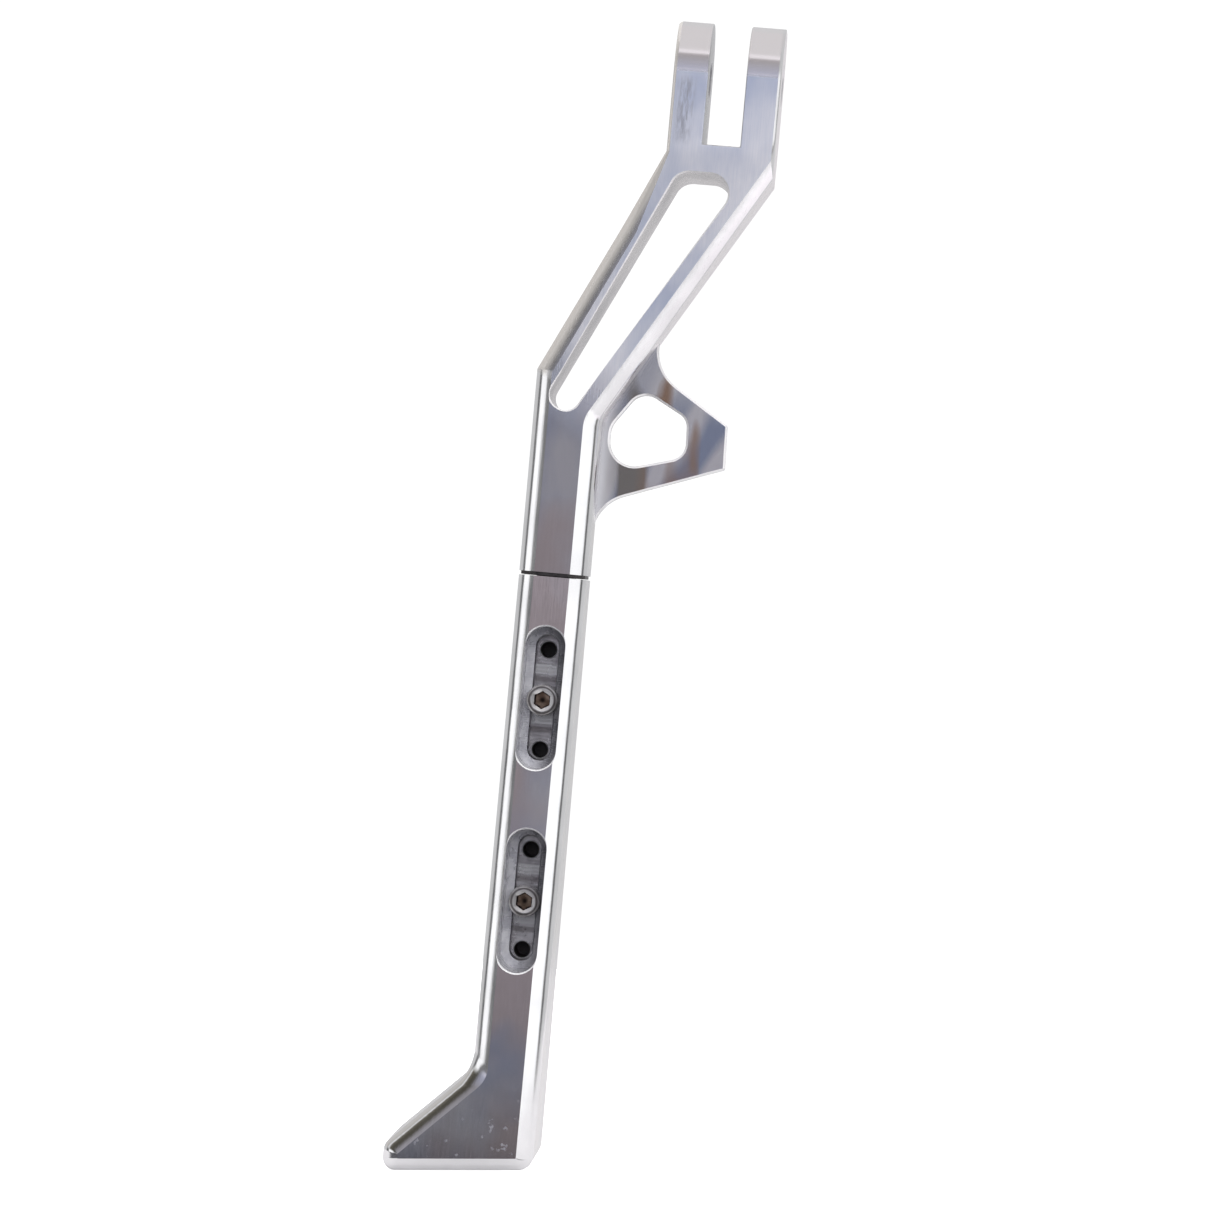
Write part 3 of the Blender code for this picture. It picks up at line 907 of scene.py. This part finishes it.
def wall_metal():
    """The side walls: brushed along the leg, satin and paler above the elbow."""
    n = Surface("wall_aluminium")
    brush = n.noise(1, 4, (3000, 3000, 160), 0.65)
    satin = n.past_elbow(-0.001, 0.001)
    colour = n.shades(n.noise(60, 4), PALE, (0.88, 0.87, 0.86))
    colour = n.mix(satin, colour, (0.96, 0.92, 0.94))
    wave = n.bump(n.noise(70, 2), 0.00003, n.bump(brush, 0.00001))
    roughness = n.spread(brush, 0.3, 0.7, 0.24, 0.375)
    return n.metal(colour, roughness, n.blend(satin, 1.0, 0.5), wave)


def tab_metal():
    """Mirror-polished plate with painted reflections: slanting bluish, pale and brownish bands,
    paler towards the top, pale by the leg, and a painted highlight on its edge breaks.
    """
    n = Surface("tab_aluminium")
    x = n.along("X")
    leaning = n.mapped(Rotation=(0, math.radians(-28), 0))
    bands = n.wave(leaning, 22, 1.6, 1.0, 3, wave_type="BANDS", bands_direction="X")
    scratch = n.noise(1, 3, (2400, 2400, 260), 0.6)
    # Painted reflection: bluish and pale bands, paler towards the top, as the studio would show in
    # the polished plate
    painted_reflection_bands = n.shades(bands, (0.42, 0.48, 0.64), (0.90, 0.89, 0.93), 0.15, 0.85)
    painted_reflection_bands = n.mix(n.spread(n.along("Z"), -0.110, -0.098, 0.0, 0.6), painted_reflection_bands, WHITE)
    # Painted reflection: a darker brownish tone, mixed in by noise
    painted_brown_reflection = n.shades(x, (0.36, 0.34, 0.32), (0.50, 0.34, 0.25), -0.019, -0.012)
    by_leg = n.spread(x, LEG_RIGHT_X + 0.0065, LEG_RIGHT_X + 0.001)
    into = n.maths("SUBTRACT", n.along("Y"), TAB_FRONT_Y)
    # Painted highlight: the edge breaks at the front are painted near white
    rim_highlight = n.between(into, 0.00002, 0.00006, TAB_BREAK * 0.5, TAB_BREAK * 0.6)
    colour = n.shades(n.noise(42, 2, (1.8, 1, 0.6)), painted_reflection_bands, painted_brown_reflection, 0.49, 0.58)
    colour = n.mix(rim_highlight, n.mix(by_leg, colour, (0.97, 0.97, 1.0)), RIM_HIGHLIGHT)
    metallic = n.blend(rim_highlight, n.blend(by_leg, 0.8, 0.45), 0.2)
    wave = n.bump(n.noise(24, 2), 0.0005, n.bump(scratch, 0.000004))
    return n.metal(colour, n.spread(scratch, 0.3, 0.7, 0.07, 0.16), metallic, wave)


def window_metal():
    """The window's inner walls: fine milling across them, and a painted highlight along their edge.
    """
    n = Surface("window_aluminium")
    brush = n.noise(1, 4, (700, 2600, 700), 0.65)
    half_depth = n.spread(n.along("Z"), ELBOW_Z, FORK_CREASE_Z, LEG_HALF_DEPTH, EAR_RADIUS)
    below = n.maths("ADD", n.along("Y"), half_depth)
    # Painted highlight: the edge break at the front is painted near white
    rim_highlight = n.spread(below, WINDOW_BREAK * 1.1, WINDOW_BREAK * 0.9)
    colour = n.mix(rim_highlight, n.shades(n.noise(60, 4), (0.62, 0.60, 0.62), (0.84, 0.81, 0.82)), RIM_HIGHLIGHT)
    wave = n.bump(n.noise(70, 2), 0.00003, n.bump(brush, 0.000004))
    roughness = n.spread(brush, 0.3, 0.7, 0.21, 0.325)
    return n.metal(colour, roughness, n.blend(rim_highlight, 0.6, 0.2), wave)


def milled_metal():
    """Metal with the curved marks that an end mill leaves."""
    n = Surface("milled_aluminium")
    blotch = n.noise(180, 4)
    colour = n.shades(blotch, (0.62, 0.62, 0.64), PALE)
    roughness = n.spread(blotch, 0.3, 0.7, 0.225, 0.39)
    return n.metal(colour, roughness, 1.0, n.bump(n.swirl(320), 0.00001))


def tongue_metal():
    """The tongue between its holes: patches that repeat with the holes, under milling marks."""
    n = Surface("tongue_aluminium")
    blotch = n.noise(240, 4)
    step = n.maths("DIVIDE", n.maths("SUBTRACT", TOP_HOLE_Z, n.along("Z")), HOLE_PITCH)
    step = n.maths("FRACT", n.maths("ADD", step, 1.0))
    front = n.spread(n.along("Y"), TONGUE_BACK_Y - 0.001, TONGUE_FRONT_Y + 0.001)
    light = n.product(n.between(step, 0.28, 0.31, 0.47, 0.50), front)
    dark = n.product(n.between(step, 0.52, 0.55, 0.63, 0.66), front, 0.6)
    colour = n.shades(blotch, (0.58, 0.56, 0.58), (0.92, 0.90, 0.92))
    colour = n.mix(dark, n.mix(light, colour, WHITE), (0.26, 0.23, 0.23))
    roughness = n.spread(blotch, 0.3, 0.7, 0.20, 0.34)
    return n.metal(colour, roughness, 0.6, n.bump(n.swirl(260), 0.000015))


def hole_metal():
    """The tapped holes: a painted highlight on the countersink at the tongue's face, and painted
    shade below it.
    """
    n = Surface("hole_aluminium")
    blotch = n.noise(180, 4)
    # Painted highlight: the countersink is painted near white
    mouth_highlight = n.spread(n.along("Y"), TONGUE_FRONT_Y + HOLE_BREAK, TONGUE_FRONT_Y + HOLE_BREAK / 2)
    # The shoulder in the joint line has this material too, and is painted dark all over, as shade
    # in the joint line.
    mouth_highlight = n.product(mouth_highlight, n.spread(n.along("Z"), JOINT_LINE_Z - 0.006, -0.170))
    # Painted shade: the hole below the countersink is painted near black
    deep_shade = n.shades(blotch, (0.05, 0.05, 0.05), (0.12, 0.11, 0.11))
    colour = n.mix(mouth_highlight, deep_shade, (0.92, 0.92, 0.93))
    roughness = n.spread(blotch, 0.3, 0.7, 0.34, 0.55)
    return n.metal(colour, roughness, 0.7, n.bump(n.swirl(400), 0.00001))


def pocket_metal():
    """The milled pockets: painted light on their left ledge, painted shade on their right one, and
    a painted highlight at the rim.
    """
    n = Surface("pocket_aluminium")
    blotch = n.noise(260, 4)
    # Painted light and shade: the left ledge is painted light and the right one dark
    light = n.shades(blotch, (0.66, 0.66, 0.70), (0.96, 0.96, 0.98))
    dark = n.shades(blotch, (0.20, 0.20, 0.21), (0.44, 0.43, 0.44))
    half_depth = n.spread(
        n.along("Z"), JOINT_LINE_Z, SOLE_TOE_Z, LEG_HALF_DEPTH, SOLE_HALF_DEPTH,
    )
    # Painted highlight: the edge break at the face is painted white
    rim_highlight = n.spread(n.maths("ADD", n.along("Y"), half_depth), 0.0007, 0.0004)
    colour = n.shades(n.along("X"), light, dark, LEG_X - 0.002, LEG_X + 0.005)
    roughness = n.spread(blotch, 0.3, 0.7, 0.22, 0.36)
    wave = n.bump(n.swirl(420), 0.00003)
    return n.metal(n.mix(rim_highlight, colour, WHITE), roughness, n.blend(rim_highlight, 0.4, 0.15), wave)


def leg_materials():
    """In the order of FACE, EDGE and the other numbers above."""
    return [
        face_metal(), edge_metal(), wall_metal(), tab_metal(), window_metal(), milled_metal(),
        tongue_metal(), hole_metal(), pocket_metal(),
    ]


def screw_metal():
    """Turned heads with a painted highlight round the socket's mouth, and brownish sockets with
    painted shade on their walls and in the middle.
    """
    n = Surface("screw_stainless")
    smear = n.noise(420, 3)
    first, last = (hole_z(hole) for hole in SCREW_HOLES.values())
    half = (first - last) / 2
    across = n.maths("SUBTRACT", n.along("X"), LEG_X)
    up = n.maths("WRAP", n.maths("SUBTRACT", n.along("Z"), first), half, -half)
    squares = n.maths("ADD", n.maths("POWER", across, 2.0), n.product(up, up))
    distance = n.maths("SQRT", squares)
    # The distance to the flats of the hexagon
    flats = n.maths("ABSOLUTE", across)
    for operation in ("ADD", "SUBTRACT"):
        turned_across = n.maths(
            operation, n.product(across, 0.5), n.product(up, math.sqrt(0.75)),
        )
        flats = n.maths("MAXIMUM", flats, n.maths("ABSOLUTE", turned_across))
    top = LEDGE_Y - SLIDING_GAP - HEAD_HEIGHT
    sunk = n.spread(n.along("Y"), top + 0.00045, top + 0.0006)
    inside = n.spread(distance, SOCKET_MOUTH_RADIUS, SOCKET_MOUTH_RADIUS - 0.0004)
    socket = n.product(sunk, inside)
    brown = n.shades(smear, (0.30, 0.20, 0.14), (0.66, 0.50, 0.38), 0.38, 0.62)
    # Painted shade: the socket's walls and the middle of its floor are painted near black
    brown = n.mix(n.spread(flats, 0.0019, 0.0023), brown, (0.05, 0.03, 0.025))
    brown = n.mix(n.spread(distance, 0.0012, 0.0004), brown, (0.05, 0.035, 0.03))
    ring = n.spread(n.maths("ABSOLUTE", n.maths("SUBTRACT", distance, 0.0041)), 0.0004, 0.0002)
    head = n.shades(smear, (0.58, 0.56, 0.54), (0.90, 0.88, 0.86), 0.38, 0.62)
    # Painted highlight: the socket's lead-in is painted near white
    head = n.mix(n.spread(distance, 0.0037, 0.0034), head, (1.0, 0.99, 0.97))
    head = n.mix(n.product(ring, 0.85), head, (0.13, 0.115, 0.11))
    roughness = n.blend(socket, n.spread(smear, 0.3, 0.7, 0.16, 0.26), 0.12)
    grooves = n.maths("SINE", n.product(distance, 16000.0))
    turning = n.bump(n.product(grooves, n.spread(sunk, 1.0, 0.0)), 0.000012)
    wave = n.bump(smear, 0.00001, turning)
    return n.metal(n.mix(socket, head, brown), roughness, n.blend(socket, 0.72, 1.0), wave)


# ---------------------------------------------------------------- studio

# Colours around the horizon, by the angle from the camera's side towards +X: at the horizon
# itself, for directions below it and for directions above it
AROUND = [
    (-180, 0.66), (-100, 0.60), (-95, 0.16), (-87, 0.14), (-84, 1.15), (-71, 1.15), (-68, 0.18),
    (0, 0.18), (50, 0.24), (53, 1.22), (81, 1.15), (84, 0.15), (93, 0.17), (97, 0.62),
    (180, 0.66),
]
AROUND_BELOW = [
    (-180, 0.60), (-90, 0.55), (-64, 0.40), (-50, 0.25), (40, 0.40), (50, 1.20),
    (70, (1.26, 1.19, 1.23)), (110, (1.15, 1.09, 1.13)), (180, 0.80),
]
AROUND_ABOVE = [
    (-180, 0.60), (-110, (0.58, 0.56, 0.54)), (-98, (0.50, 0.48, 0.45)), (-94, 0.40),
    (-92, 0.85), (-87, 0.80), (-84, (0.16, 0.145, 0.12)), (-72, (0.08, 0.075, 0.06)),
    (-50, (0.07, 0.065, 0.055)), (44, 0.20), (60, 0.55), (100, 0.60), (180, 0.66),
]
BELOW = [(-1.0, 1.0), (-0.40, 1.0), (-0.30, 0.0), (1.0, 0.0)]
ABOVE = [(-1.0, 0.0), (0.16, 0.0), (0.30, 1.0), (1.0, 1.0)]
# Share of the camera's side, by the same angle
FRONT = [(-64, 0.0), (-56, 1.0), (44, 1.0), (50, 0.0)]
# Colour of the camera's side, by the height of the direction
FRONT_HEIGHTS = [
    (-1.0, (0.10, 0.10, 0.11)), (-0.24, (0.10, 0.10, 0.11)), (-0.12, (0.12, 0.12, 0.13)),
    (-0.05, (0.13, 0.13, 0.14)), (-0.03, (0.15, 0.15, 0.16)), (-0.006, (0.25, 0.25, 0.29)),
    (0.05, (0.26, 0.25, 0.27)), (0.10, (0.24, 0.24, 0.27)), (0.115, (0.30, 0.30, 0.34)),
    (0.14, (0.62, 0.62, 0.70)), (0.18, (0.60, 0.60, 0.70)), (0.24, (0.40, 0.41, 0.51)),
    (0.40, (0.36, 0.36, 0.42)), (0.66, (0.30, 0.28, 0.28)), (0.70, (0.30, 0.28, 0.28)),
    (0.72, (0.90, 0.86, 0.88)),
]
# Share of the overhead light, by the height of the direction
OVERHEAD = [(-1.0, 0.0), (0.76, 0.0), (0.84, 1.0), (1.0, 1.0)]
# The ramps hold half of each colour, because they reach only 1, and the world is twice as strong
RAMP_GAIN = 0.5


def make_camera():
    """At the height of the leg's middle, a little to the right, rolled so that the leg leans."""
    position = Vector((0.054, -1.2978, -0.1715))
    target = Vector((-0.0228, -0.0178, -0.1699))
    roll = math.radians(5.108)
    ahead = (target - position).normalized()
    level = ahead.cross(Vector((0, 0, 1))).normalized()
    upright = level.cross(ahead)
    right = level * math.cos(roll) + upright * math.sin(roll)
    up = upright * math.cos(roll) - level * math.sin(roll)
    data = bpy.data.cameras.new("camera")
    data.lens = 121.1
    data.sensor_width = 36
    camera = bpy.data.objects.new("camera", data)
    rotation = Matrix((right, up, -ahead)).transposed().to_4x4()
    camera.matrix_world = Matrix.Translation(position) @ rotation
    bpy.context.scene.collection.objects.link(camera)
    bpy.context.scene.camera = camera


def make_floor():
    """A pale floor just under the foot."""
    bm = bmesh.new()
    bmesh.ops.create_grid(bm, x_segments=12, y_segments=12, size=0.5)
    under = Vector((-0.03, 0.25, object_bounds()[0][2] - 0.0002))
    bmesh.ops.translate(bm, vec=under, verts=bm.verts)
    n = Surface("studio_floor")
    tone = n.mix(n.noise(9, 2), (0.90, 0.90, 0.90), (0.94, 0.94, 0.94))
    seen = n.add("ShaderNodeLightPath").outputs["Is Camera Ray"]
    # In reflections the floor is darker in front of the foot, where the studio is dark.
    behind = n.spread(n.along("Y"), -0.036, -0.030)
    behind = n.maths("MAXIMUM", behind, n.spread(n.along("X"), -0.02, 0.01))
    reflected = n.mix(behind, (0.08, 0.08, 0.09), (0.66, 0.65, 0.66))
    n.link(n.mix(seen, reflected, tone), n.shader.inputs["Base Color"])
    n.shader.inputs["Roughness"].default_value = 0.7
    n.shader.inputs["Specular IOR Level"].default_value = 0
    n.link(tone, n.shader.inputs["Emission Color"])
    n.link(n.blend(seen, n.product(behind, 0.20), 1.0), n.shader.inputs["Emission Strength"])
    floor = object_from("floor", bm, [n.material])


def area_light(name, position, target, size, power):
    """A square light that is seen neither by the camera nor in reflections."""
    data = bpy.data.lights.new(name, "AREA")
    data.shape = "RECTANGLE"
    data.size = size
    data.size_y = size
    data.energy = power
    light = bpy.data.objects.new(name, data)
    light.location = position
    direction = Vector(target) - Vector(position)
    light.rotation_euler = direction.to_track_quat("-Z", "Y").to_euler()
    light.visible_glossy = False
    light.visible_camera = False
    bpy.context.scene.collection.objects.link(light)


def make_world():
    """Soft studio surroundings: dark by the camera, tall softboxes at both sides, white behind."""
    world = bpy.data.worlds.new("studio")
    bpy.context.scene.world = world
    world.use_nodes = True
    world.node_tree.nodes.clear()
    g = Graph(world.node_tree)
    direction = g.add("ShaderNodeSeparateXYZ")
    g.link(g.add("ShaderNodeTexCoord").outputs["Generated"], direction.inputs[0])
    x, y, z = direction.outputs
    around = g.maths("ARCTAN2", x, g.product(y, -1))
    turn = g.maths("MULTIPLY_ADD", around, 0.5 / math.pi, 0.5)
    height = g.maths("MULTIPLY_ADD", z, 0.5, 0.5)
    level, below, above = (
        g.ramp(turn, stops, 180, RAMP_GAIN) for stops in (AROUND, AROUND_BELOW, AROUND_ABOVE)
    )
    sides = g.mix(g.ramp(height, BELOW, 1), level, below)
    sides = g.mix(g.ramp(height, ABOVE, 1), sides, above)
    front = g.ramp(height, FRONT_HEIGHTS, 1, RAMP_GAIN)
    horizon = g.mix(g.ramp(turn, FRONT, 180), sides, front)
    lit = g.mix(g.ramp(height, OVERHEAD, 1), horizon, (0.31, 0.30, 0.30))
    tinted = g.mix(1.0, lit, (0.99, 0.99, 1.0), blend_type="MULTIPLY")
    choice = g.add("ShaderNodeMixShader")
    g.link(g.add("ShaderNodeLightPath").outputs["Is Camera Ray"], choice.inputs[0])
    for slot, (colour, strength) in enumerate(((tinted, 1 / RAMP_GAIN), (WHITE, 1.05)), 1):
        background = g.add("ShaderNodeBackground")
        g.link(colour, background.inputs["Color"])
        background.inputs["Strength"].default_value = strength
        g.link(background.outputs[0], choice.inputs[slot])
    g.link(choice.outputs[0], g.add("ShaderNodeOutputWorld").inputs["Surface"])


def main():
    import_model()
    bpy.context.scene.view_settings.view_transform = "Standard"
    make_camera()
    make_world()
    make_floor()
    area_light("key_above", (0.1, -0.5, 1.4), (-0.03, 0, -0.2), 1.6, 14)
    area_light("key_front", (0.5, -1.7, 0.6), (-0.03, 0, -0.17), 1.2, 14)
    area_light("fill_behind", (-0.3, 1.6, 0.8), (-0.03, 0, -0.2), 1.6, 8)
    materials = leg_materials()
    screw = screw_metal()
    pieces = {
        "upper_leg": (make_upper_leg(materials), "leg_aluminium"),
        "lower_leg": (make_lower_leg(materials), "leg_aluminium"),
    }
    for name in SCREW_HOLES:
        pieces[name] = (make_screw(name, screw), "screw_steel")
    for node, (piece, slot) in pieces.items():
        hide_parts(node)
        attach(piece, node)


main()
